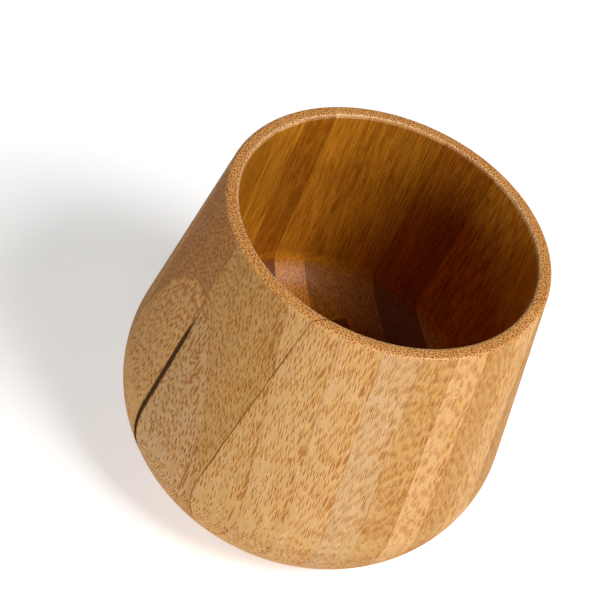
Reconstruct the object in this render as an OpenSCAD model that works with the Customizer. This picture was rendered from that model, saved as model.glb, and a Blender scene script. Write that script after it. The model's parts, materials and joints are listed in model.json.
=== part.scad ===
// Bamboo cup, turned on a lathe from a block of upright bamboo strips glued face to face.
// The cup stands on its flat foot at z = 0, with its axis on +Z.
// Layers of strips are stacked along X, and the strips of one layer stand side by side along Y.

/* [Cup] */
// Outer width of the mouth
mouth_d = 68; // [62:1:74]
// Height from the table to the rim
cup_h = 72.8; // [64:0.2:84]
// Width of the belly, the widest part, as a share of the mouth's
belly_share = 1.244; // [1.2:0.001:1.28]
// Radius of the turned bottom corner
corner_r = 26.2; // [24.6:0.1:29]
// How far the flat foot's edge lies inside the mouth's outer edge, seen from above
foot_inset = 2.23; // [1:0.01:3.5]

/* [Cavity] */
// Thickness of the wall at the rim
rim_wall = 2.9; // [2.4:0.1:4.5]
// Lean of the inner wall, in degrees from upright
inner_lean = 2.2; // [1:0.1:4]
// Thickness of the bottom at its middle
floor_t = 20.5; // [16:0.5:25]
// Distance from the edge of the floor's level middle out to the wall at the rim
dish_w = 13.1; // [11.5:0.1:14]
// Radius of the dish round the level middle
dish_r = 19; // [18:0.5:22]
// Radius of the heel, where the dish meets the inner wall
heel_r = 4; // [2:0.5:6]
// Rounding of the rim's two edges
rim_round = 0.8; // [0.4:0.1:1.1]

/* [Bamboo strips] */
// Layers of strips on each side of the axis
side_layers = 6; // [5:7]
// Thickness of one layer of strips, as a share of the cavity's radius at the rim
layer_share = 0.235; // [0.22:0.001:0.25]
// Width of one strip, as a share of the cavity's radius at the rim
strip_share = 0.64; // [0.6:0.01:0.68]
// Distance of the joint nearest the middle from the axis, towards -Y, as a share of a strip's width
joint_share = 0.1055; // [0.08:0.0005:0.13]
// What the turning leaves of the outermost layer, as a share of a whole layer's thickness
last_share = 0.787; // [0.7:0.001:0.9]
// Least width that is left for a strip at the end of a layer, as a share of a strip's width
least_share = 0.186; // [0.17:0.001:0.2]
// Width of the dark filler in the one open joint, in the front layer
filler_w = 1.4; // [0.8:0.1:2]

/* [Hidden] */
round_fn = 120;
// How far a shape runs on past the one that it is cut by
overrun = 1;
// How far the end of a line or an arc lies inside the rounding that takes over from it
sink = 0.005;

mouth_r = mouth_d / 2;
cavity_r = mouth_r - rim_wall;

// The belly is a circle that is cut off flat by the foot.
// The outer wall is the line from the rim that touches it, and leans by wall_lean from upright.
belly_r = belly_share * mouth_r;
foot_run = mouth_r - foot_inset - belly_r + corner_r;
belly_c = [belly_r - corner_r, sqrt(pow(corner_r, 2) - pow(foot_run, 2))];
to_rim = [mouth_r, cup_h] - belly_c;
wall_lean = atan2(to_rim.y, to_rim.x) - acos(corner_r / norm(to_rim));

// Centres of the rim's two edge roundings, each touching its wall and the rim's top
rim_z = cup_h - rim_round;
inner_slope = tan(inner_lean);
outer_edge_c = [mouth_r + rim_round * tan(wall_lean) - rim_round / cos(wall_lean), rim_z];
inner_edge_c = [cavity_r + rim_round * inner_slope + rim_round / cos(inner_lean), rim_z];

// The heel is a circle that touches the inner wall, and the dish from inside
level_r = cavity_r - dish_w;
dish_c = [level_r, floor_t + dish_r];
heel_line = cavity_r + cup_h * inner_slope - heel_r / cos(inner_lean);
heel_step = dish_r - heel_r + sink;
heel_square = 1 + pow(inner_slope, 2);
half_b = inner_slope * (heel_line - dish_c.x) + dish_c.y;
term_c = pow(heel_line - dish_c.x, 2) + pow(dish_c.y, 2) - pow(heel_step, 2);
heel_z = (half_b - sqrt(pow(half_b, 2) - heel_square * term_c)) / heel_square;
heel_c = [heel_line - inner_slope * heel_z, heel_z];
dish_a = atan2(heel_c.y - dish_c.y, heel_c.x - dish_c.x);

// Layers and strips are shares of the cavity's radius, so that the cavity cuts the same strips in any cup
layers = 2 * side_layers;
layer_t = layer_share * cavity_r;
strip_w = strip_share * cavity_r;
least_w = least_share * strip_w;
block_r = (side_layers - 1 + last_share) * layer_t;
open_joint = -joint_share * strip_w;
joint_count = ceil(block_r / strip_w);
joints = [for (n = [-joint_count : joint_count]) n * strip_w + open_joint];

function on_circle(c, r, a) = c + r * [cos(a), sin(a)];
function layer_x(i) = (i - side_layers) * layer_t;
// Half the width of a layer of the round block on its widest face, the one nearest the axis
function half_chord(i) = sqrt(pow(block_r, 2) - pow(min(abs(layer_x(i)), abs(layer_x(i + 1))), 2));
// The joints that cut a layer, and the ends of its strips from -Y to +Y
function cuts(i) = [for (y = joints) if (abs(y) < half_chord(i) - least_w) y];
function ends(i) = concat([-belly_r - overrun], cuts(i), [belly_r + overrun]);
function strip_count(i) = len(cuts(i)) + 1;
function is_open_joint(i, y) = i == 0 && abs(y - open_joint) < sink;
function strip_name(i, k) = str("layer_", i + 1, "_strip_", k + 1);
// A row of the table of tones serves again where a changed cup has more layers or strips
function tone_row(i) = strip_tones[i % len(strip_tones)];
function tone(i, k) = bamboo_tones[tone_row(i)[k % len(tone_row(i))]];

// Bamboo comes in lighter and darker strips: pale, honey, amber and brown
bamboo_tones = ["#d8b27a", "#d39a52", "#bd7d3c", "#96582a"];
filler_tone = "#2e170c";
// The tone of each strip, one row for each layer from -X, each row from -Y
strip_tones = [
    [0, 1],
    [1, 2, 3, 2],
    [1, 1, 2, 2],
    [1, 2, 1, 2],
    [0, 1, 2, 1, 2],
    [2, 2, 1, 3, 2],
    [1, 1, 1, 1, 1],
    [2, 3, 3, 2, 3],
    [1, 2, 2, 2],
    [2, 3, 3, 3],
    [1, 2, 0, 2],
    [1, 2]
];

module disc(c, r) {
    translate(c) circle(r, $fn = round_fn);
}

// A slice of a disc between two angles
module sector(c, r, a0, a1) {
    intersection() {
        disc(c, r);
        polygon([c, on_circle(c, 2 * r, a0), on_circle(c, 2 * r, (a0 + a1) / 2), on_circle(c, 2 * r, a1)]);
    }
}

// Half outline of the outside, from the axis outwards, running on below the table
module outside_outline() {
    polygon([
        [0, -overrun],
        [belly_c.x, -overrun],
        on_circle(belly_c, corner_r - sink, wall_lean),
        on_circle(outer_edge_c, rim_round - sink, wall_lean),
        outer_edge_c + [0, rim_round - sink],
        [0, cup_h - sink]
    ]);
    sector(belly_c, corner_r, -90, 3 * wall_lean);
    disc(outer_edge_c, rim_round);
}

// Half outline of the cavity, with the square corner that the rim's inner rounding fills
module cavity_outline() {
    polygon([
        [0, floor_t + sink],
        [level_r, floor_t + sink],
        on_circle(dish_c, dish_r - sink, dish_a),
        on_circle(heel_c, heel_r - sink, inner_lean),
        on_circle(inner_edge_c, rim_round - sink, 180 + inner_lean),
        inner_edge_c,
        inner_edge_c + [0, rim_round + overrun],
        [0, cup_h + overrun]
    ]);
    sector(dish_c, dish_r, -120, dish_a);
    disc(heel_c, heel_r);
}

// The whole turned cup, before it is divided into its strips
module turned_cup() {
    rotate_extrude($fn = round_fn) {
        difference() {
            outside_outline();
            cavity_outline();
            translate([0, -2 * overrun]) square([belly_r, 2 * overrun]);
        }
        disc(inner_edge_c, rim_round);
    }
}

// The part of the cup between two layer faces and two joints
module cup_between(x0, x1, y0, y1) {
    intersection() {
        turned_cup();
        translate([x0, y0, -overrun]) cube([x1 - x0, y1 - y0, cup_h + 2 * overrun]);
    }
}

// One strip of a layer, its grain upright, that ends at the filler where its joint is the open one
module strip(i, k) {
    x0 = i == 0 ? -belly_r - overrun : layer_x(i);
    x1 = i == layers - 1 ? belly_r + overrun : layer_x(i + 1);
    y0 = ends(i)[k];
    y1 = ends(i)[k + 1] - (is_open_joint(i, ends(i)[k + 1]) ? filler_w : 0);
    color(tone(i, k)) cup_between(x0, x1, y0, y1);
}

// The dark filler in the open joint of the front layer, flush with the cup's outside
module front_joint_filler() {
    color(filler_tone)
        cup_between(-belly_r - overrun, layer_x(1), open_joint - filler_w, open_joint);
}

for (i = [0 : layers - 1])
    for (k = [0 : strip_count(i) - 1])
        strip(i, k);
front_joint_filler();
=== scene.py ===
"""A handleless bamboo cup, turned on a lathe from a block of upright bamboo strips glued together.

Everything is in metres. The cup stands on its foot at z = 0, with its axis on +Z. Its strips are
stacked in layers along X, and the strips of one layer stand side by side along Y.
"""

import json
import math

import bpy
from bpy.props import FloatProperty, FloatVectorProperty, IntProperty, PointerProperty
from mathutils import Matrix, Vector


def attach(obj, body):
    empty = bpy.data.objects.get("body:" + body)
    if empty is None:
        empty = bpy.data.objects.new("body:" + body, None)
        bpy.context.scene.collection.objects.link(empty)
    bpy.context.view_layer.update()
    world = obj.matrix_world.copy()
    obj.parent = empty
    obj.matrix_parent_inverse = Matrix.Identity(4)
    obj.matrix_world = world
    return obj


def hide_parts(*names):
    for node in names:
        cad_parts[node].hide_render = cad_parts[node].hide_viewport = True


bl_info = {
    "name": "Bamboo cup",
    "version": (1, 0, 0),
    "blender": (4, 5, 0),
    "location": "View3D > Sidebar > Bamboo cup",
    "description": "A turned cup of glued bamboo strips, with its studio",
    "category": "Add Mesh",
}

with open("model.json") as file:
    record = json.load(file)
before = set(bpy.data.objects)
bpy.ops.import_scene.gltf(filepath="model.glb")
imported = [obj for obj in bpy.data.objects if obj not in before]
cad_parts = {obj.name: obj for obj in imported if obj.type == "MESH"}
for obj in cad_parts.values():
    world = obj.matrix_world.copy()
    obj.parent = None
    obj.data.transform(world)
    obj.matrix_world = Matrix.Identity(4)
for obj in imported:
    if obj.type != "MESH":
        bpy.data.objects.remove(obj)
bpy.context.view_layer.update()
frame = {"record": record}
BODY = "root"
SLOTS = {part["node"]: part["material_slot"] for part in frame["record"]["subparts"]}
FILLER = "front_joint_filler"
# How far the cells of the block run on past the cup, at its sides and above its rim
SIDE_OVERRUN = 0.002
TOP_OVERRUN = 0.01


def number(name, description, default, **limits):
    return FloatProperty(name=name, description=description, default=default, **limits)


def share(name, description, default):
    return number(name, description, default, min=0, max=1)


def length(name, description, default):
    return number(name, description, default, unit="LENGTH")


def angle(name, description, default):
    return number(name, description, default, subtype="ANGLE")


def colour(name, description, default):
    size = len(default)
    return FloatVectorProperty(
        name=name, description=description, default=default, subtype="COLOR", size=size
    )


def direction(name, description, azimuth, elevation):
    """A direction from the cup, given in degrees."""
    default = (math.radians(azimuth), math.radians(elevation))
    return FloatVectorProperty(
        name=name, description=description, default=default, subtype="EULER", size=2
    )


class CupSizes(bpy.types.PropertyGroup):
    """The turned outline and the block of strips."""

    mouth_radius: length("Mouth radius", "Outer radius at the rim", 0.034)
    cup_height: length("Height", "From the table to the rim", 0.0728)
    belly_share: number("Belly share", "Width of the widest part as a share of the mouth's", 1.244)
    corner_radius: length("Bottom corner", "Radius of the turned bottom corner", 0.0262)
    foot_inset: length("Foot inset", "How far the foot's edge lies inside the mouth's", 0.00223)
    rim_wall: length("Rim wall", "Thickness of the wall at the rim", 0.0029)
    inner_lean: angle("Inner lean", "Lean of the inner wall from upright", math.radians(2.2))
    floor_height: length("Floor height", "Thickness of the bottom at its middle", 0.0205)
    dish_width: length("Dish width", "From the level middle of the floor out to the wall", 0.0131)
    dish_radius: length("Dish", "Radius of the dish round the level floor", 0.019)
    heel_radius: length("Heel", "Radius where the dish meets the inner wall", 0.004)
    rim_rounding: length("Rim rounding", "Rounding of the rim's two edges", 0.0008)
    side_layers: IntProperty(
        name="Side layers", description="Layers of strips on each side of the axis", default=6
    )
    turned_layer: IntProperty(
        name="Turned layer", description="Layers from this one on have their dense side to -X", default=8
    )
    layer_share: number("Layer share", "Thickness of a layer as a share of the cavity's radius", 0.235)
    strip_share: number("Strip share", "Width of a strip as a share of the cavity's radius", 0.64)
    joint_share: number(
        "Joint share", "Shift of the middle joint towards -Y as a share of a strip", 0.1055
    )
    last_share: number("Last share", "What the turning leaves of the outermost layer's thickness", 0.787)
    least_share: number(
        "Least share", "Least width of a strip at a layer's end as a share of a strip", 0.186
    )
    filler_width: length("Filler width", "Width of the filler in the open joint", 0.0014)
    turning_steps: IntProperty(
        name="Turning steps", description="Flats round the turned surface", default=240, min=24
    )


class BambooLook(bpy.types.PropertyGroup):
    """The colours and the grain of the bamboo, and its lacquer."""

    pale: colour("Pale", "Colour of the pale strips", (0.71, 0.437, 0.205, 1))
    honey: colour("Honey", "Colour of the honey strips", (0.75, 0.435, 0.172, 1))
    amber: colour("Amber", "Colour of the amber strips", (0.64, 0.36, 0.13, 1))
    brown: colour("Brown", "Colour of the brown strips", (0.54, 0.275, 0.1, 1))
    # Painted shade: this tint darkens and deepens the colour all over the inside of the cup, in place of
    # the shade in the hollow
    cavity: colour("Cavity shade tint", "What the cavity's finish does to the colour", (0.78, 0.52, 0.09, 1))
    # Partly the end grain's real darkening, partly painted sheen: the raised blue gives the cavity's
    # floor a painted pinkish sheen
    cavity_floor_and_sheen: colour(
        "Cavity floor and sheen tint", "What finish sunk into end grain does to the floor", (1.15, 1.15, 1.6, 1)
    )
    # A painted highlight: a pale line along the rim's inner edge, in place of the light that its rounding
    # catches
    inner_edge_highlight: colour("Inner edge", "Colour of the sanded inner edge of the rim", (0.95, 0.58, 0.28, 1))
    pith: colour(
        "Pith tint", "What soft tissue between bundles does to a strip's colour", (1.04, 1.07, 1.24, 1)
    )
    ripe: colour("Ripe tint", "What crowded bundles do to the colour between them", (1.0, 0.95, 0.8, 1))
    halo: colour(
        "Halo tint", "What soft tissue round a bundle does to a strip's colour", (1.07, 1.11, 1.17, 1)
    )
    fibre: colour("Fibre tint", "What a fibre bundle does to its strip's colour", (0.56, 0.245, 0.05, 1))
    fibre_end: colour(
        "Fibre end tint", "What a bundle cut across does to its strip's colour", (0.27, 0.12, 0.05, 1)
    )
    end_grain: colour("End grain", "Colour of the bamboo cut across the grain", (0.93, 0.43, 0.12, 1))
    filler: colour("Filler", "Colour of the joint filler", (0.058, 0.025, 0.012, 1))
    filler_edge: colour(
        "Filler edge", "Colour of the bamboo that the filler has soaked", (0.42, 0.21, 0.08, 1)
    )
    glue: colour("Glue line", "Colour of a glue line", (0.23, 0.08, 0.01, 1))
    bundle_spacing: FloatVectorProperty(
        name="Bundle spacing", description="Distance between fibre bundles across and along a layer",
        default=(0.0008, 0.00064, 1), unit="LENGTH",
    )
    bundle_radius: length("Bundle radius", "Radius of a bundle's two crescents of fibre", 0.0002)
    crescent: length("Crescent", "Half the thickness of a crescent of fibre", 0.00013)
    streak_width: length("Streak width", "Width of the fine upright streaks", 0.0004)
    glue_width: length("Glue width", "Width of a glue line", 0.0002)
    lacquer: share("Lacquer", "Weight of the clear lacquer in the cavity", 0.19)
    lacquer_roughness: share("Lacquer roughness", "Roughness of the clear lacquer", 0.3)
    rim_lacquer: share("Rim lacquer", "Weight of the clear lacquer on the turned edges", 0.5)
    roughness: share("Roughness", "Roughness of the sanded outside", 0.58)
    cavity_roughness: share("Cavity roughness", "Roughness of the bamboo in the cavity", 0.42)
    gloss: share("Gloss", "Specular level of the sanded bamboo", 0.05)


class Studio(bpy.types.PropertyGroup):
    """Camera, lamps and floor."""

    view_azimuth: angle("View azimuth", "Where the camera stands round the cup", math.radians(-130.244))
    view_distance: length("View distance", "Level distance of the camera from the axis", 0.25166)
    view_height: length("View height", "Height of the camera", 0.29349)
    view_turn: angle("View turn", "Turn of the camera to the right of the axis", -0.0423)
    view_tilt: angle("View tilt", "Tilt of the camera from level", -0.7829)
    view_roll: angle("View roll", "Roll of the camera", 0.4156)
    lens: number("Lens", "Focal length in millimetres", 101.324)
    sensor: number("Sensor", "Sensor width in millimetres", 36)
    floor_size: length("Floor size", "Side of the floor", 6)
    floor_colour: colour("Floor colour", "Colour of the floor", (0.9, 0.89, 0.89, 1))
    lamp_size: length("Lamp size", "Side of each lamp", 0.4)
    lamp_distance: length("Lamp distance", "Distance of each lamp from the cup", 1.1)
    high_direction: direction("High direction", "Azimuth and elevation of the high lamp", -58, 52)
    high_power: number("High power", "Power of the high lamp in watts", 9.2)
    low_direction: direction("Low direction", "Azimuth and elevation of the low lamp", -121, 11)
    low_power: number("Low power", "Power of the low lamp in watts", 4.0)
    fill_direction: direction("Fill direction", "Azimuth and elevation of the fill lamp", 150, 17)
    fill_power: number("Fill power", "Power of the fill lamp in watts", 1.6)
    fill_colour: colour("Fill colour", "Colour of the fill lamp", (1, 0.9, 0.68))
    glow: number("Floor glow", "What the seen floor is brightened by, so that it is white", 0.54)
    glow_near: length("Glow near", "Distance from the cup at which the glow starts to grow", 0.35)
    glow_far: length("Glow far", "Distance from the cup at which the glow alone is white", 1.0)
    sky: number("Sky", "Strength of the light from all round", 0.02)


class Tree:
    """A node tree under construction: adds a node, sets or links its inputs by name."""

    def __init__(self, tree):
        self.tree = tree

    def put(self, socket, value):
        if isinstance(value, bpy.types.NodeSocket):
            self.tree.links.new(value, socket)
        elif value is not None:
            socket.default_value = value

    def add(self, kind, inputs=(), **settings):
        node = self.tree.nodes.new(kind)
        for name, value in settings.items():
            setattr(node, name, value)
        for name, value in dict(inputs).items():
            self.put(node.inputs[name], value)
        return node

    def operate(self, kind, operation, values):
        node = self.add(kind, operation=operation)
        for socket, value in zip(node.inputs, values):
            self.put(socket, value)
        return node

    def math(self, operation, *values, clamp=False):
        node = self.operate("ShaderNodeMath", operation, values)
        node.use_clamp = clamp
        return node.outputs[0]

    def plus(self, a, b):
        return self.math("ADD", a, b)

    def minus(self, a, b):
        return self.math("SUBTRACT", a, b)

    def times(self, a, b):
        return self.math("MULTIPLY", a, b)

    def vector(self, operation, *values):
        outputs = self.operate("ShaderNodeVectorMath", operation, values).outputs
        return outputs["Value" if operation in ("LENGTH", "DOT_PRODUCT") else "Vector"]

    def scaled(self, vector, scale):
        node = self.add("ShaderNodeVectorMath", {"Vector": vector}, operation="SCALE")
        self.put(node.inputs["Scale"], scale)
        return node.outputs["Vector"]

    def combine(self, x, y, z):
        return self.add("ShaderNodeCombineXYZ", {"X": x, "Y": y, "Z": z}).outputs["Vector"]

    def separate(self, vector):
        node = self.add("ShaderNodeSeparateXYZ", {"Vector": vector})
        return node.outputs["X"], node.outputs["Y"], node.outputs["Z"]

    def ramp(self, value, low, high, to_low=0.0, to_high=1.0, smooth=True):
        """Value from low to high becomes to_low to to_high, and is held beyond them."""
        node = self.add(
            "ShaderNodeMapRange",
            {"Value": value, "From Min": low, "From Max": high, "To Min": to_low, "To Max": to_high},
            interpolation_type="SMOOTHSTEP" if smooth else "LINEAR",
        )
        return node.outputs["Result"]

    def blend(self, share, a, b):
        """From a number a to a number b by share."""
        node = self.add("ShaderNodeMix", data_type="FLOAT")
        for socket, value in zip((node.inputs[0], node.inputs[2], node.inputs[3]), (share, a, b)):
            self.put(socket, value)
        return node.outputs[0]

    def mix(self, share, a, b, how="MIX"):
        """Colour a mixed with colour b by share."""
        node = self.add("ShaderNodeMix", data_type="RGBA", blend_type=how)
        for socket, value in zip((node.inputs[0], node.inputs[6], node.inputs[7]), (share, a, b)):
            self.put(socket, value)
        return node.outputs[2]

    def tint(self, share, colour, by):
        """Colour multiplied by another, by share."""
        return self.mix(share, colour, self.mix(1.0, colour, by, "MULTIPLY"))

    def noise(self, place, turns, detail=2.0, roughness=0.5):
        """Noise that turns so many times in each metre, by one number or by one for each axis."""
        if isinstance(turns, tuple):
            place = self.vector("MULTIPLY", place, turns)
            turns = 1.0
        inputs = {"Vector": place, "Scale": turns, "Detail": detail, "Roughness": roughness}
        return self.add("ShaderNodeTexNoise", inputs).outputs

    def shade(self, noise):
        """Noise, which keeps near its middle, spread from -1 to 1."""
        return self.ramp(noise, 0.3, 0.7, -1.0, 1.0)

    def bump(self, height, depth):
        """Normal of the surface raised by height times depth."""
        inputs = {"Strength": 0.3, "Distance": depth, "Height": height}
        return self.add("ShaderNodeBump", inputs).outputs["Normal"]

    def outward(self, place):
        """Level direction away from the cup's axis."""
        return self.vector("NORMALIZE", self.vector("MULTIPLY", place, (1, 1, 0)))


def new_group(name, kind, inputs, outputs):
    """A node group; each of its sockets is given by its type, or by the number it starts with."""
    group = bpy.data.node_groups.new(name, kind)
    for direction, sockets in (("INPUT", inputs), ("OUTPUT", outputs)):
        for socket_name, content in sockets.items():
            socket_type = content if isinstance(content, str) else "Float"
            socket = group.interface.new_socket(
                socket_name, in_out=direction, socket_type=f"NodeSocket{socket_type}"
            )
            if content != socket_type:
                socket.default_value = content
    source = group.nodes.new("NodeGroupInput")
    sink = group.nodes.new("NodeGroupOutput")
    return Tree(group), source.outputs, sink.inputs


def finished_group(tree, result, values):
    """The group of a tree, with a value for each of its results."""
    for name, value in values.items():
        tree.put(result[name], value)
    return tree.tree


def shared_group(name, build):
    """The node group of that name, built the first time that it is asked for."""
    return bpy.data.node_groups.get(name) or build(name)


def belly(sizes):
    """Radius of the widest part, centre of the bottom corner, and lean of the wall that touches it."""
    radius = sizes.belly_share * sizes.mouth_radius
    foot_run = sizes.mouth_radius - sizes.foot_inset - radius + sizes.corner_radius
    centre = Vector((radius - sizes.corner_radius, math.sqrt(sizes.corner_radius**2 - foot_run**2)))
    to_rim = Vector((sizes.mouth_radius, sizes.cup_height)) - centre
    lean = math.atan2(to_rim.y, to_rim.x) - math.acos(sizes.corner_radius / to_rim.length)
    return radius, centre, lean


def outline_corners(sizes):
    """Corners of the half outline as (radius, height), before they are rounded off."""
    height = sizes.cup_height
    inner_slope = math.tan(sizes.inner_lean)
    cavity_radius = sizes.mouth_radius - sizes.rim_wall
    _, belly_centre, wall_lean = belly(sizes)
    belly_low = belly_centre.y - sizes.corner_radius
    belly_out = (height - belly_low) * math.tan(wall_lean)
    # The heel's centre, where its circle touches the inner wall and the dish from inside
    dish = Vector((cavity_radius - sizes.dish_width, sizes.floor_height + sizes.dish_radius))
    heel_line = cavity_radius + height * inner_slope - sizes.heel_radius / math.cos(sizes.inner_lean)
    step = sizes.dish_radius - sizes.heel_radius
    square = 1 + inner_slope**2
    half = inner_slope * (heel_line - dish.x) + dish.y
    rest = (heel_line - dish.x) ** 2 + dish.y**2 - step**2
    heel_height = (half - math.sqrt(half**2 - square * rest)) / square
    heel = Vector((heel_line - inner_slope * heel_height, heel_height))
    # The line that touches both circles where they meet, run on to the floor and to the wall
    out = (heel - dish).normalized()
    along = Vector((-out.y, out.x))
    meeting = dish + out * sizes.dish_radius
    to_floor = (sizes.floor_height - meeting.y) / along.y
    wall_gap = cavity_radius + (height - meeting.y) * inner_slope - meeting.x
    to_wall = wall_gap / (along.x + along.y * inner_slope)
    return {
        "Dish corner": meeting + along * to_floor,
        "Heel corner": meeting + along * to_wall,
        "Inner rim corner": Vector((cavity_radius, height)),
        "Outer rim corner": Vector((sizes.mouth_radius, height)),
        "Belly corner": Vector((sizes.mouth_radius + belly_out, belly_low)),
    }


def stored(tree, geometry, name, value, kind, domain):
    """The geometry with a named attribute stored on it."""
    return tree.add(
        "GeometryNodeStoreNamedAttribute",
        {"Geometry": geometry, "Name": name, "Value": value},
        data_type=kind,
        domain=domain,
    ).outputs[0]


def attribute(tree, name):
    """A stored number, read back."""
    return tree.add("GeometryNodeInputNamedAttribute", {"Name": name}, data_type="FLOAT").outputs[0]


def turned_piece_tree(name):
    """Geometry nodes that turn the rounded outline on its axis and keep what lies in one cell."""
    tree, given, result = new_group(
        name,
        "GeometryNodeTree",
        {
            "Geometry": "Geometry", "Dish corner": "Vector", "Heel corner": "Vector",
            "Inner rim corner": "Vector", "Outer rim corner": "Vector", "Belly corner": "Vector",
            "Dish rounding": "Float", "Heel rounding": "Float", "Rim rounding": "Float",
            "Belly rounding": "Float", "Turning steps": "Int", "Cell low corner": "Vector",
            "Cell high corner": "Vector", "Layer span": "Vector", "Joint span": "Vector",
            "Strip number": "Float", "Material": "Material",
        },
        {"Geometry": "Geometry"},
    )
    rail_radius = 0.02
    weld_distance = 1e-6
    last_below_rim = 2
    floor_height = tree.separate(given["Dish corner"])[1]
    low_height = tree.separate(given["Belly corner"])[1]
    # Each corner of the outline with its rounding and the steps of that rounding
    outline = [
        (tree.combine(0, floor_height, 0), 0.0, 1),
        (given["Dish corner"], given["Dish rounding"], 18),
        (given["Heel corner"], given["Heel rounding"], 12),
        (given["Inner rim corner"], given["Rim rounding"], 10),
        (given["Outer rim corner"], given["Rim rounding"], 10),
        (given["Belly corner"], given["Belly rounding"], 48),
        (tree.combine(0, low_height, 0), 0.0, 1),
    ]
    corners, roundings, rounding_steps = zip(*outline)
    index = tree.add("GeometryNodeInputIndex").outputs[0]

    def by_corner(kind, values):
        switch = tree.add("GeometryNodeIndexSwitch", data_type=kind)
        while len(switch.index_switch_items) < len(values):
            switch.index_switch_items.new()
        tree.put(switch.inputs["Index"], index)
        for socket, value in zip(switch.inputs[1:], values):
            tree.put(socket, value)
        return switch.outputs[0]

    line = tree.add("GeometryNodeMeshLine", {"Count": len(corners)})
    # The circle that carries the outline turns it upside down
    upright = tree.vector("MULTIPLY", by_corner("VECTOR", corners), (1, -1, 1))
    to_rail = tree.vector("SUBTRACT", upright, (rail_radius, 0, 0))
    placed = tree.add("GeometryNodeSetPosition", {"Geometry": line.outputs[0], "Position": to_rail})
    inside = tree.math("LESS_THAN", index, last_below_rim + 0.5)
    named = stored(tree, placed.outputs[0], "below_rim", inside, "FLOAT", "POINT")
    curve = tree.add("GeometryNodeMeshToCurve", {"Mesh": named})
    rounded = tree.add(
        "GeometryNodeFilletCurve",
        {
            "Curve": curve.outputs[0],
            "Radius": by_corner("FLOAT", roundings),
            "Count": by_corner("INT", rounding_steps),
            "Limit Radius": False,
        },
        mode="POLY",
    )
    rail = tree.add(
        "GeometryNodeCurvePrimitiveCircle", {"Resolution": given["Turning steps"], "Radius": rail_radius}
    )
    turned = tree.add(
        "GeometryNodeCurveToMesh", {"Curve": rail.outputs[0], "Profile Curve": rounded.outputs[0]}
    )
    closed = tree.add(
        "GeometryNodeMergeByDistance", {"Geometry": turned.outputs[0], "Distance": weld_distance}
    )
    # The inner wall runs from the heel to the rim, and reads 0.5 here
    in_cavity = tree.math("GREATER_THAN", attribute(tree, "below_rim"), 0.25)
    marked = stored(tree, closed.outputs[0], "cavity", in_cavity, "FLOAT", "FACE")
    marked = stored(tree, marked, "turned", 1.0, "FLOAT", "FACE")
    size = tree.vector("SUBTRACT", given["Cell high corner"], given["Cell low corner"])
    middle = tree.scaled(tree.vector("ADD", given["Cell high corner"], given["Cell low corner"]), 0.5)
    block = tree.add("GeometryNodeMeshCube", {"Size": size})
    cell = tree.add("GeometryNodeTransform", {"Geometry": block.outputs[0], "Translation": middle})
    cut = tree.add("GeometryNodeMeshBoolean", operation="INTERSECT", solver="MANIFOLD")
    tree.put(cut.inputs["Mesh 2"], marked)
    tree.put(cut.inputs["Mesh 2"], cell.outputs[0])
    # An edge between a turned face and a cut one reads 0.5 here, and stays sharp
    smooth = tree.add("GeometryNodeSetShadeSmooth", {"Geometry": cut.outputs[0], "Shade Smooth": True})
    at_border = tree.math("COMPARE", attribute(tree, "turned"), 0.5, 0.4)
    last = tree.add(
        "GeometryNodeSetShadeSmooth",
        {"Geometry": smooth.outputs[0], "Selection": at_border, "Shade Smooth": False},
        domain="EDGE",
    ).outputs[0]
    last = stored(tree, last, "layer_span", given["Layer span"], "FLOAT_VECTOR", "POINT")
    last = stored(tree, last, "joint_span", given["Joint span"], "FLOAT_VECTOR", "POINT")
    last = stored(tree, last, "strip_number", given["Strip number"], "FLOAT", "POINT")
    real = tree.add("GeometryNodeRealizeInstances", {"Geometry": last})
    finished = tree.add(
        "GeometryNodeSetMaterial", {"Geometry": real.outputs[0], "Material": given["Material"]}
    )
    return finished_group(tree, result, {"Geometry": finished.outputs[0]})


def grown_piece(name, values):
    """An object at the origin whose plain mesh is turned and cut from the values given."""
    piece = bpy.data.objects.new(name, bpy.data.meshes.new(name))
    bpy.context.scene.collection.objects.link(piece)
    tree = shared_group("turned_piece", turned_piece_tree)
    modifier = piece.modifiers.new(tree.name, "NODES")
    modifier.node_group = tree
    for item in tree.interface.items_tree:
        if item.in_out == "INPUT" and item.name in values:
            modifier[item.identifier] = values[item.name]
    graph = bpy.context.evaluated_depsgraph_get()
    mesh = bpy.data.meshes.new_from_object(
        piece.evaluated_get(graph), preserve_all_data_layers=True, depsgraph=graph
    )
    if not mesh.polygons:
        raise RuntimeError(f"{name} came out empty")
    piece.modifiers.clear()
    piece.data = mesh
    mesh.name = name
    return piece


def outline_values(sizes):
    """The turned outline as the tree's inputs."""
    values = {name: (corner.x, corner.y, 0.0) for name, corner in outline_corners(sizes).items()}
    values["Dish rounding"] = sizes.dish_radius
    values["Heel rounding"] = sizes.heel_radius
    values["Rim rounding"] = sizes.rim_rounding
    values["Belly rounding"] = sizes.corner_radius
    values["Turning steps"] = sizes.turning_steps
    return values


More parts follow.
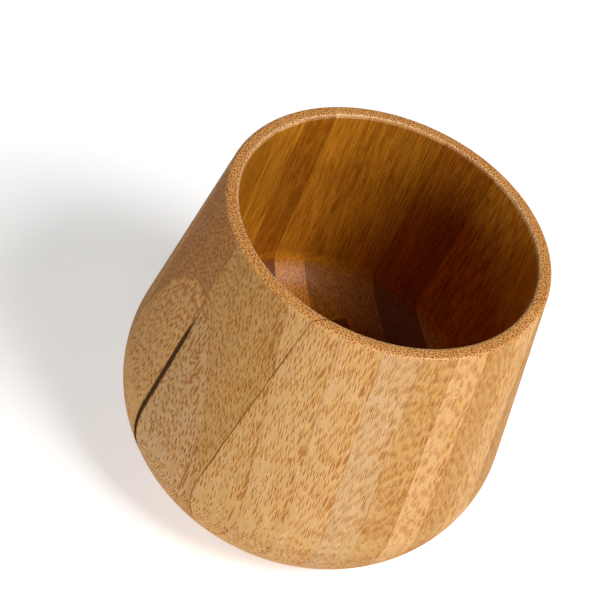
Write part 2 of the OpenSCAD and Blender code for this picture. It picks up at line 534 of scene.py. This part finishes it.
def block_of_strips(sizes):
    """Every strip of the block as (name, layer faces in x, cell low and high corner), and the cell
    of the filler. The layer faces go from the side with few bundles to the side with many.
    """
    belly_radius, *_ = belly(sizes)
    beyond = belly_radius + SIDE_OVERRUN
    top = sizes.cup_height + TOP_OVERRUN
    cavity_radius = sizes.mouth_radius - sizes.rim_wall
    thickness = sizes.layer_share * cavity_radius
    width = sizes.strip_share * cavity_radius
    block_radius = (sizes.side_layers - 1 + sizes.last_share) * thickness
    reach = math.ceil(block_radius / width)
    open_joint = -sizes.joint_share * width
    joints = [n * width + open_joint for n in range(-reach, reach + 1)]
    layers = 2 * sizes.side_layers
    strips = []
    for layer in range(layers):
        faces = [(layer - sizes.side_layers + step) * thickness for step in (0, 1)]
        half_chord = math.sqrt(block_radius**2 - min(abs(x) for x in faces) ** 2)
        longest = half_chord - sizes.least_share * width
        ends = [-beyond] + [y for y in joints if abs(y) < longest] + [beyond]
        low_x = -beyond if layer == 0 else faces[0]
        high_x = beyond if layer == layers - 1 else faces[1]
        for number, (low_y, high_y) in enumerate(zip(ends, ends[1:]), 1):
            if layer == 0 and high_y == open_joint:
                high_y -= sizes.filler_width
            name = f"layer_{layer + 1}_strip_{number}"
            sparse_to_dense = faces if layer + 1 < sizes.turned_layer else faces[::-1]
            strips.append((name, sparse_to_dense, (low_x, low_y, 0.0), (high_x, high_y, top)))
    front_face = (1 - sizes.side_layers) * thickness
    filler = ((-beyond, open_joint - sizes.filler_width, 0.0), (front_face, open_joint, top))
    return strips, filler


def strip_place_group(name):
    """Where a point lies in its own strip, and what chance gave that strip."""
    tree, given, result = new_group(
        name,
        "ShaderNodeTree",
        {"Place": "Vector", "Wander": 0.0004},
        {
            "Across": "Float", "Layer distance": "Float", "Joint distance": "Float",
            "Grain place": "Vector", "Chance": "Color",
        },
    )
    ragged_turns = (700, 700, 260)
    bend_turns = (90, 90, 22)
    # Chance moves each strip's grain by up to this many metres, so that no two are alike
    shift = 0.5
    layer = tree.add("ShaderNodeAttribute", attribute_name="layer_span")
    joint = tree.add("ShaderNodeAttribute", attribute_name="joint_span")
    number = tree.add("ShaderNodeAttribute", attribute_name="strip_number").outputs["Fac"]
    x, y, _ = tree.separate(given["Place"])
    sparse_x, dense_x, _ = tree.separate(layer.outputs["Vector"])
    low_y, high_y, _ = tree.separate(joint.outputs["Vector"])

    def nearest(value, low, high):
        to_low = tree.math("ABSOLUTE", tree.minus(value, low))
        return tree.math("MINIMUM", to_low, tree.math("ABSOLUTE", tree.minus(value, high)))

    depth = tree.minus(x, sparse_x)
    across = tree.math("DIVIDE", depth, tree.minus(dense_x, sparse_x), clamp=True)
    ragged = tree.minus(tree.noise(given["Place"], ragged_turns)["Fac"], 0.5)
    line_y = tree.plus(y, tree.times(ragged, given["Wander"]))
    chance = tree.add("ShaderNodeTexWhiteNoise", {"W": number}, noise_dimensions="1D").outputs["Color"]
    moved = tree.vector("ADD", given["Place"], tree.scaled(chance, shift))
    bend = tree.noise(moved, bend_turns, 1.0)
    swing = tree.vector("SUBTRACT", bend["Color"], (0.5, 0.5, 0.5))
    wander = tree.vector("MULTIPLY", tree.scaled(swing, given["Wander"]), (1, 1, 0))
    values = {
        "Across": across,
        "Layer distance": nearest(x, sparse_x, dense_x),
        "Joint distance": nearest(line_y, low_y, high_y),
        "Grain place": tree.vector("ADD", moved, wander),
        "Chance": chance,
    }
    return finished_group(tree, result, values)


def bundles_group(name):
    """Fibre bundles: upright rods with two crescents of fibre each, of which Share are there."""
    tree, given, result = new_group(
        name,
        "ShaderNodeTree",
        {
            "Place": "Vector", "Grain place": "Vector", "Share": "Float", "Spacing": "Vector",
            "Radius": "Float", "Crescent": "Float", "Bold share": 0.0, "Broken": 0.0,
        },
        {"Fibre": "Float", "Halo": "Float"},
    )
    disorder = 0.7
    least_size, most_size = 0.75, 1.15
    core_share = 0.4
    dash_length = 0.0028
    upper_end = 0.7
    least_dark = 0.8
    bold_dark = 0.75
    placed = tree.vector("DIVIDE", given["Grain place"], given["Spacing"])
    cells = tree.add(
        "ShaderNodeTexVoronoi",
        {"Vector": placed, "Scale": 1.0, "Randomness": disorder},
        voronoi_dimensions="2D",
    )
    from_middle = tree.vector("SUBTRACT", placed, cells.outputs["Position"])
    off = tree.vector("MULTIPLY", tree.vector("MULTIPLY", from_middle, given["Spacing"]), (1, 1, 0))
    chance, size_chance, shade_chance = tree.separate(cells.outputs["Color"])
    distance = tree.vector("LENGTH", off)
    radius = tree.times(given["Radius"], tree.blend(size_chance, least_size, most_size))
    from_ring = tree.math("ABSOLUTE", tree.minus(distance, radius))
    core = tree.times(given["Crescent"], core_share)
    ring = tree.ramp(from_ring, core, given["Crescent"], 1.0, 0.0)
    # The ring is open towards the two neighbouring strips of the layer, which leaves two crescents
    sideways = tree.math("DIVIDE", tree.math("ABSOLUTE", tree.separate(off)[0]), distance)
    fibre = tree.times(ring, tree.ramp(sideways, 0.4, 0.8))
    # A turned wall runs out of each bundle at the dash's upper end, which is paler
    lower = tree.math("DIVIDE", tree.vector("DOT_PRODUCT", off, tree.outward(given["Place"])), radius)
    fibre = tree.times(fibre, tree.ramp(lower, -1.0, 1.0, upper_end, 1.0))
    fibre = tree.times(fibre, tree.blend(shade_chance, least_dark, 1.0))
    # Where the surface runs along the grain, a bundle bends in and out of it and leaves a row of dashes
    height = tree.separate(given["Place"])[2]
    turns = tree.plus(tree.math("DIVIDE", height, dash_length), size_chance)
    wave = tree.math("SINE", tree.times(turns, math.tau))
    dashes = tree.blend(given["Broken"], 1.0, tree.ramp(wave, 0.0, 0.5))
    fibre = tree.times(fibre, dashes)
    present = tree.ramp(tree.minus(given["Share"], chance), -0.04, 0.04)
    halo = tree.ramp(distance, radius, tree.plus(radius, given["Crescent"]), 1.0, 0.0)
    # A bold bundle is dark all through
    is_bold = tree.minus(given["Bold share"], shade_chance)
    bold = tree.ramp(is_bold, -0.03, 0.03, 0.0, bold_dark)
    fibre = tree.math("MAXIMUM", fibre, tree.times(halo, bold))
    values = {
        "Fibre": tree.times(fibre, present),
        "Halo": tree.times(halo, present),
    }
    return finished_group(tree, result, values)


def streaks_group(name):
    """Fine upright streaks, broader bands, short flecks, and clouds of many and few bundles."""
    tree, given, result = new_group(
        name,
        "ShaderNodeTree",
        {"Grain place": "Vector", "Width": 0.0004},
        {"Streaks": "Float", "Bands": "Float", "Clouds": "Float", "Flecks": "Float"},
    )
    flat = tree.scaled(given["Grain place"], tree.math("DIVIDE", 1.0, given["Width"]))
    # Turns of each noise in a streak's width, and of the clouds in a metre
    streaks = tree.noise(flat, (1, 1, 0.033), 3.0, 0.6)
    bands = tree.noise(flat, (0.22, 0.22, 0.008))
    flecks = tree.noise(flat, (1.6, 1.6, 0.25))
    clouds = tree.noise(given["Grain place"], (560, 560, 260), 3.0, 0.6)
    values = {
        "Streaks": streaks["Fac"],
        "Bands": bands["Fac"],
        "Clouds": clouds["Fac"],
        "Flecks": flecks["Fac"],
    }
    return finished_group(tree, result, values)


def end_grain_group(name):
    """How far the surface is cut across the grain, how far it runs along it, and the band of the rim's
    inner edge that takes a painted highlight.
    """
    tree, given, result = new_group(
        name,
        "ShaderNodeTree",
        {"Place": "Vector", "Start": 0.25},
        {"End grain": "Float", "Along": "Float", "Inner edge": "Float"},
    )
    full_end = 0.95
    underside = 0.3
    normal = tree.add("ShaderNodeNewGeometry").outputs["Normal"]
    upward = tree.separate(normal)[2]
    level = tree.math("ABSOLUTE", upward)
    facing = tree.vector("DOT_PRODUCT", normal, tree.outward(given["Place"]))
    # The underside is sanded smoother
    sanded = tree.ramp(upward, -0.3, 0.0, underside, 1.0)
    end = tree.times(tree.ramp(level, given["Start"], full_end), sanded)
    # The band of the rim's rounding that is neither level nor upright, where a painted highlight lies
    # along the inner edge
    edge = tree.times(tree.ramp(facing, -0.75, -0.55), tree.ramp(facing, -0.4, -0.2, 1.0, 0.0))
    values = {
        "End grain": end,
        "Along": tree.ramp(level, 0.05, 0.15, 1.0, 0.0),
        "Inner edge": edge,
    }
    return finished_group(tree, result, values)


def glue_group(name):
    """The thin dark line where two strips are glued, clear in some places and lost in others."""
    tree, given, result = new_group(
        name,
        "ShaderNodeTree",
        {"Distance": "Float", "Grain place": "Vector", "Width": "Float", "Least": "Float"},
        {"Line": "Float"},
    )
    patch_turns = 130.0
    core_share = 0.3
    patches = tree.noise(given["Grain place"], patch_turns)["Fac"]
    half = tree.times(given["Width"], tree.ramp(patches, 0.35, 0.65, 0.6, 1.3))
    line = tree.ramp(given["Distance"], tree.times(half, core_share), half, 1.0, 0.0)
    clear = tree.ramp(patches, 0.4, 0.62, given["Least"], 1.0)
    return finished_group(tree, result, {"Line": tree.times(line, clear)})


SHADER_GROUPS = {
    "Strip place": strip_place_group,
    "Fibre bundles": bundles_group,
    "Upright streaks": streaks_group,
    "End grain": end_grain_group,
    "Glue line": glue_group,
}


def effect(tree, name, inputs):
    """Places one of the shared effects with the inputs given, and returns its outputs."""
    node = tree.add("ShaderNodeGroup", node_tree=shared_group(name, SHADER_GROUPS[name]))
    for socket, value in inputs.items():
        tree.put(node.inputs[socket], value)
    return node.outputs


def new_material(name):
    """A material with a Principled shader alone; returns it, its tree and the shader."""
    material = bpy.data.materials.new(name)
    material.use_nodes = True
    tree = Tree(material.node_tree)
    return material, tree, material.node_tree.nodes["Principled BSDF"]


class BambooSurface(Tree):
    """The nodes of a bamboo surface of one tone: its colour, roughness, height and coat."""

    def __init__(self, tree, tone, look):
        super().__init__(tree)
        self.tone = tone
        self.look = look
        self.lightness = tone[0] / look.honey[0]
        self.place = self.add("ShaderNodeTexCoord").outputs["Object"]
        self.cavity = self.add("ShaderNodeAttribute", attribute_name="cavity").outputs["Fac"]
        self.outside = self.minus(1.0, self.cavity)
        self.strip = effect(self, "Strip place", {"Place": self.place})
        self.grain = {"Grain place": self.strip["Grain place"]}
        self.streaks = effect(self, "Upright streaks", {**self.grain, "Width": look.streak_width})
        self.cut = effect(self, "End grain", {"Place": self.place})
        self.rim = self.times(self.cut["End grain"], self.outside)
        self.crowd = self.crowding()
        self.fibre, self.halo = self.bundles()
        self.line = self.glue_lines()
        self.colour = self.marked(self.ground())
        self.roughness = self.roughened()
        self.height = self.relief()
        self.coat = self.lacquered()

    def crowding(self):
        """How crowded the bundles are: sparse below 0 and at their densest above 1."""
        across_weight = 0.6
        bias = 0.15
        contrast = 0.7
        skin_weight = 1.4
        clouds = self.ramp(self.streaks["Clouds"], 0.34, 0.66, 0.9, -0.6, smooth=False)
        crowd = self.plus(self.times(self.strip["Across"], across_weight), clouds)
        crowd = self.times(self.plus(crowd, bias), contrast)
        # A darker strip comes from nearer the stem's skin, where the bundles are crowded and fine
        skin = skin_weight * (1 - self.lightness)
        return self.plus(crowd, self.times(self.outside, skin))

    def marks(self, share, spacing, radius, crescent, more):
        """Bundle marks of one kind, present by share."""
        sockets = {"Share": share, "Spacing": spacing, "Radius": radius, "Crescent": crescent}
        return effect(self, "Fibre bundles", {**self.grain, "Place": self.place, **sockets, **more})

    def bundles(self):
        """Dark fibre and the pale halo of large and small bundles, and of the pores on end grain."""
        look = self.look
        broad, narrow, _ = look.bundle_spacing
        spacing = Vector((broad * self.lightness, narrow * self.lightness, 1))
        small_spacing = Vector((spacing.x * 0.62, spacing.y * 0.8, 1))
        pore_spacing = Vector((broad * 0.7, narrow * 0.8, 1))
        radius = look.bundle_radius * self.lightness
        crescent = look.crescent * self.lightness
        large_share = self.ramp(self.crowd, -0.15, 0.15, 0.0, 1.05)
        small_share = self.ramp(self.crowd, 0.45, 1.1, 0.0, 0.7)
        pore_share = self.ramp(self.crowd, -0.3, 0.3, 0.6, 1.05)
        bold_share = self.times(self.ramp(self.strip["Across"], 0.7, 0.95, 0.02, 0.4), self.outside)
        broken = {"Broken": self.times(self.cut["Along"], self.outside)}
        large = self.marks(large_share, spacing, radius, crescent, {**broken, "Bold share": bold_share})
        small = self.marks(small_share, small_spacing, radius * 0.75, crescent * 0.9, broken)
        pores = self.marks(pore_share, pore_spacing, look.bundle_radius * 0.5, look.crescent, {})
        fibre = self.math("MAXIMUM", large["Fibre"], small["Fibre"])
        halo = self.math("MAXIMUM", large["Halo"], small["Halo"])
        dots = self.blend(self.cavity, pores["Halo"], self.times(large["Halo"], 0.6))
        dots = self.math("MAXIMUM", self.times(fibre, 0.3), dots)
        return self.blend(self.cut["End grain"], fibre, dots), halo

    def glue_lines(self):
        """Lines where the strip meets its neighbours."""
        layer_strength = 0.3
        cavity_strength = 0.3
        width = {**self.grain, "Width": self.look.glue_width}
        lines = []
        for name, least in (("Layer distance", 0.0), ("Joint distance", 0.8)):
            sockets = {**width, "Distance": self.strip[name], "Least": least}
            lines.append(effect(self, "Glue line", sockets)["Line"])
        layer, joint = lines
        # The joints towards -Y have opened a little
        opened = self.ramp(self.separate(self.place)[1], -0.016, -0.01, 0.95, 0.25)
        opened = self.blend(self.cavity, opened, cavity_strength)
        layer = self.times(layer, layer_strength)
        return self.math("MAXIMUM", layer, self.times(joint, opened))

    def ground(self):
        """Colour of the bamboo between its bundles, with painted shade in the cavity, a partly painted
        sheen on its floor and a painted highlight on the rim's inner edge.
        """
        look = self.look
        rim_share = 0.8
        hue_chance, value_chance, _ = self.separate(self.strip["Chance"])
        value = 1.0
        for name, outside_swing, cavity_swing in (
            ("Streaks", 0.06, 0.2),
            ("Bands", 0.03, 0.12),
            ("Flecks", 0.05, 0.12),
        ):
            swing = self.blend(self.cavity, outside_swing, cavity_swing)
            shade = self.times(self.shade(self.streaks[name]), swing)
            value = self.plus(value, shade)
        value = self.times(value, self.blend(value_chance, 0.97, 1.03))
        value = self.times(value, self.ramp(self.crowd, 0.0, 1.2, 1.01, 0.97))
        hue = self.blend(hue_chance, 0.498, 0.502)
        ground = self.add(
            "ShaderNodeHueSaturation", {"Hue": hue, "Saturation": 1.0, "Value": value, "Color": self.tone}
        ).outputs["Color"]
        pith = self.times(self.ramp(self.crowd, -0.2, 0.35, 0.8, 0.0), self.outside)
        ground = self.tint(pith, ground, look.pith)
        ripe = self.times(self.ramp(self.crowd, 0.3, 0.9), self.outside)
        ground = self.tint(ripe, ground, look.ripe)
        # Painted shade of the hollow: the whole cavity is darkened and deepened in colour
        ground = self.tint(self.cavity, ground, look.cavity)
        # End grain drinks the finish, and a dark strip's the most; the tint's raised blue is a painted
        # pinkish sheen on the cavity's floor
        colours = zip(look.cavity_floor_and_sheen, self.tone, look.honey)
        sunk = [tint * (own / middle) ** 3 for tint, own, middle in colours]
        cavity_end = self.times(self.cut["End grain"], self.cavity)
        ground = self.tint(cavity_end, ground, sunk)
        ground = self.mix(self.times(self.rim, rim_share), ground, look.end_grain)
        # Painted highlight: a pale band along the rim's inner edge
        inner_edge_highlight = self.times(self.cut["Inner edge"], self.outside)
        return self.mix(inner_edge_highlight, ground, look.inner_edge_highlight)

    def marked(self, ground):
        """The ground with its halos, bundles and glue lines."""
        look = self.look
        colour = self.tint(self.halo, ground, look.halo)
        fibre = self.mix(self.cut["End grain"], look.fibre, look.fibre_end)
        colour = self.mix(self.fibre, colour, self.mix(1.0, ground, fibre, "MULTIPLY"))
        return self.mix(self.line, colour, look.glue)

    def roughened(self):
        rough = self.blend(self.cavity, self.look.roughness, self.look.cavity_roughness)
        rough = self.plus(rough, -0.05)
        rough = self.plus(rough, self.times(self.streaks["Streaks"], 0.1))
        return self.plus(rough, self.times(self.fibre, 0.08))

    def relief(self):
        """Height of the streaks, less that of the bundles and the glue lines, which lie deeper."""
        grain = self.plus(self.streaks["Streaks"], self.streaks["Flecks"])
        height = self.times(grain, 0.4)
        height = self.minus(height, self.times(self.fibre, 0.35))
        return self.minus(height, self.times(self.line, 0.4))

    def lacquered(self):
        """Weight of the lacquer, in the cavity and on the rim's turned edges."""
        look = self.look
        edge = self.times(self.rim, self.ramp(self.cut["End grain"], 0.95, 1.0, 1.0, 0.0))
        # A darker strip drinks more of the lacquer
        inside = self.times(self.cavity, look.lacquer * self.lightness**3)
        return self.plus(inside, self.times(edge, look.rim_lacquer))


def bamboo_material(name, tone, look):
    """Bamboo of one tone, with its lacquer."""
    material, tree, shader = new_material(name)
    surface = BambooSurface(tree.tree, tone, look)
    tree.put(shader.inputs["Base Color"], surface.colour)
    tree.put(shader.inputs["Roughness"], surface.roughness)
    tree.put(shader.inputs["Normal"], tree.bump(surface.height, 0.00005))
    tree.put(shader.inputs["Coat Weight"], surface.coat)
    shader.inputs["Specular IOR Level"].default_value = look.gloss
    shader.inputs["Coat Roughness"].default_value = look.lacquer_roughness
    return material


def filler_material(name, look, low, high):
    """Dark filler with ragged edges, that thins out upwards until the bamboo closes over it."""
    material, tree, shader = new_material(name)
    bamboo = BambooSurface(tree.tree, look.pale, look)
    grain_turns = 2400.0
    ragged_turns = (1800, 1800, 600)
    ragged_depth = 0.0005
    soaked_depth = 0.0005
    closing_from, closing_to = 0.045, 0.0568
    _, y, z = tree.separate(bamboo.place)
    grains = tree.noise(bamboo.place, grain_turns, 3.0, 0.6)["Fac"]
    ragged = tree.noise(bamboo.place, ragged_turns, 3.0, 0.6)["Fac"]
    half_width = (high[1] - low[1]) / 2
    from_middle = tree.math("ABSOLUTE", tree.minus(y, (low[1] + high[1]) / 2))
    from_edge = tree.minus(half_width, from_middle)
    closing = tree.ramp(z, closing_from, closing_to, -0.0001, half_width, smooth=False)
    wear = tree.plus(tree.times(ragged, ragged_depth), closing)
    depth = tree.minus(from_edge, wear)
    dark = tree.ramp(depth, -0.00016, 0.0001)
    light_grain = tree.mix(0.2, look.filler, look.filler_edge)
    filler = tree.mix(tree.ramp(grains, 0.35, 0.7), look.filler, light_grain)
    soaked = tree.mix(tree.ramp(depth, -soaked_depth, 0.0, 0.0, 0.8), bamboo.colour, look.filler_edge)
    height = tree.blend(dark, bamboo.height, grains)
    tree.put(shader.inputs["Base Color"], tree.mix(dark, soaked, filler))
    tree.put(shader.inputs["Roughness"], bamboo.roughness)
    tree.put(shader.inputs["Normal"], tree.bump(height, 0.00006))
    shader.inputs["Specular IOR Level"].default_value = 0.0
    return material


def cup_piece(name, node, sizes, faces, joints, cell, material, number=0.0):
    """The part of the turned cup in one cell of the block, in place of its CAD node."""
    values = outline_values(sizes)
    values["Cell low corner"], values["Cell high corner"] = cell
    values["Layer span"] = (*faces, 0.0)
    values["Joint span"] = (*joints, 0.0)
    values["Strip number"] = number
    values["Material"] = material
    piece = grown_piece(name, values)
    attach(piece, BODY)
    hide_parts(node)


class BAMBOO_CUP_OT_strips(bpy.types.Operator):
    """Turn the glued bamboo strips of the cup"""

    bl_idname = "bamboo_cup.strips"
    bl_label = "Bamboo strips"

    def execute(self, context):
        sizes = context.scene.bamboo_cup_sizes
        look = context.scene.bamboo_cup_look
        tones = {
            "bamboo_pale": look.pale,
            "bamboo_honey": look.honey,
            "bamboo_amber": look.amber,
            "bamboo_brown": look.brown,
        }
        materials = {slot: bamboo_material(slot, tone, look) for slot, tone in tones.items()}
        strips, _ = block_of_strips(sizes)
        differing = {name for name, *_ in strips} ^ (set(SLOTS) - {FILLER})
        if differing:
            raise RuntimeError(f"strips and nodes differ: {sorted(differing)}")
        for number, (name, faces, low, high) in enumerate(strips):
            joints = (low[1], high[1])
            material = materials[SLOTS[name]]
            cup_piece(f"bamboo_{name}", name, sizes, faces, joints, (low, high), material, float(number))
        return {"FINISHED"}


class BAMBOO_CUP_OT_filler(bpy.types.Operator):
    """Fill the open joint of the front layer"""

    bl_idname = "bamboo_cup.filler"
    bl_label = "Joint filler"

    def execute(self, context):
        sizes = context.scene.bamboo_cup_sizes
        look = context.scene.bamboo_cup_look
        strips, (low, high) = block_of_strips(sizes)
        # The bamboo that closes over the filler goes on from the strip before it
        _, faces, beside, _ = strips[0]
        joints = (beside[1], high[1])
        material = filler_material(SLOTS[FILLER], look, low, high)
        cup_piece("filler_front_joint", FILLER, sizes, faces, joints, (low, high), material)
        return {"FINISHED"}


class BAMBOO_CUP_OT_studio(bpy.types.Operator):
    """Set up the floor, the lamps and the camera"""

    bl_idname = "bamboo_cup.studio"
    bl_label = "Studio"

    def execute(self, context):
        studio = context.scene.bamboo_cup_studio
        self.floor(context.scene, studio)
        self.sky(context.scene, studio)
        for name in ("high", "low", "fill"):
            direction = getattr(studio, f"{name}_direction")
            light = self.lamp(context.scene, f"{name}_lamp", studio, direction)
            light.energy = getattr(studio, f"{name}_power")
        light.color = studio.fill_colour
        self.camera(context.scene, studio)
        context.scene.view_settings.view_transform = "Standard"
        return {"FINISHED"}

    def floor(self, scene, studio):
        half = studio.floor_size / 2
        corners = [(-half, -half, 0), (half, -half, 0), (half, half, 0), (-half, half, 0)]
        mesh = bpy.data.meshes.new("floor")
        mesh.from_pydata(corners, [], [(0, 1, 2, 3)])
        floor = bpy.data.objects.new("floor", mesh)
        scene.collection.objects.link(floor)
        material, tree, shader = new_material("pale_floor")
        shader.inputs["Base Color"].default_value = studio.floor_colour
        shader.inputs["Roughness"].default_value = 0.9
        shader.inputs["Specular IOR Level"].default_value = 0.1
        shader.inputs["Emission Color"].default_value = (1, 1, 1, 1)
        # Away from the cup the lamps fade, and the glow takes over
        distance = tree.vector("LENGTH", tree.add("ShaderNodeTexCoord").outputs["Object"])
        glow = tree.ramp(distance, studio.glow_near, studio.glow_far, studio.glow, 1.0)
        tree.put(shader.inputs["Emission Strength"], tree.times(self.seen(tree), glow))
        mesh.materials.append(material)

    def seen(self, tree):
        """1 for what the camera sees, straight or in a reflection, and 0 for what lights the cup."""
        path = tree.add("ShaderNodeLightPath").outputs
        seen = tree.math("MAXIMUM", path["Is Camera Ray"], path["Is Glossy Ray"])
        return tree.math("MAXIMUM", seen, path["Is Transmission Ray"])

    def sky(self, scene, studio):
        world = bpy.data.worlds.new("studio")
        scene.world = world
        world.use_nodes = True
        tree = Tree(world.node_tree)
        background = world.node_tree.nodes["Background"]
        background.inputs["Color"].default_value = (1, 1, 1, 1)
        tree.put(background.inputs["Strength"], tree.blend(self.seen(tree), studio.sky, 1.0))

    def lamp(self, scene, name, studio, direction):
        """A square lamp that faces the cup from a direction; returns its light."""
        data = bpy.data.lights.new(name, "AREA")
        data.size = studio.lamp_size
        lamp = bpy.data.objects.new(name, data)
        scene.collection.objects.link(lamp)
        azimuth, elevation = direction
        away = level_direction(azimuth) * math.cos(elevation) + Vector((0, 0, math.sin(elevation)))
        lamp.location = away * studio.lamp_distance
        lamp.rotation_euler = away.to_track_quat("Z", "Y").to_euler()
        return data

    def camera(self, scene, studio):
        data = bpy.data.cameras.new("camera")
        data.sensor_width = studio.sensor
        data.lens = studio.lens
        data.clip_start = 0.01
        camera = bpy.data.objects.new("camera", data)
        scene.collection.objects.link(camera)
        place = level_direction(studio.view_azimuth) * studio.view_distance
        place.z = studio.view_height
        ahead = studio.view_azimuth + math.pi / 2 - studio.view_turn
        turn = Matrix.Rotation(ahead, 4, "Z")
        tilt = Matrix.Rotation(math.pi / 2 + studio.view_tilt, 4, "X")
        roll = Matrix.Rotation(studio.view_roll, 4, "Z")
        camera.matrix_world = Matrix.Translation(place) @ turn @ tilt @ roll
        scene.camera = camera


def level_direction(azimuth):
    return Vector((math.cos(azimuth), math.sin(azimuth), 0))


class BAMBOO_CUP_PT_panel(bpy.types.Panel):
    """The cup's pieces and sizes"""

    bl_idname = "BAMBOO_CUP_PT_panel"
    bl_label = "Bamboo cup"
    bl_space_type = "VIEW_3D"
    bl_region_type = "UI"
    bl_category = "Bamboo cup"

    def draw(self, context):
        for operator in OPERATORS:
            self.layout.operator(operator.bl_idname)
        for name in SETTINGS:
            group = getattr(context.scene, name)
            box = self.layout.box()
            for setting in group.__annotations__:
                box.prop(group, setting)


OPERATORS = (BAMBOO_CUP_OT_strips, BAMBOO_CUP_OT_filler, BAMBOO_CUP_OT_studio)
SETTINGS = {"bamboo_cup_sizes": CupSizes, "bamboo_cup_look": BambooLook, "bamboo_cup_studio": Studio}


def register():
    for kind in (*SETTINGS.values(), *OPERATORS, BAMBOO_CUP_PT_panel):
        bpy.utils.register_class(kind)
    for name, kind in SETTINGS.items():
        setattr(bpy.types.Scene, name, PointerProperty(type=kind))


def unregister():
    for name in SETTINGS:
        delattr(bpy.types.Scene, name)
    for kind in (BAMBOO_CUP_PT_panel, *reversed(OPERATORS), *SETTINGS.values()):
        bpy.utils.unregister_class(kind)


def main():
    register()
    bpy.ops.bamboo_cup.strips()
    bpy.ops.bamboo_cup.filler()
    bpy.ops.bamboo_cup.studio()


if __name__ == "__main__":
    main()
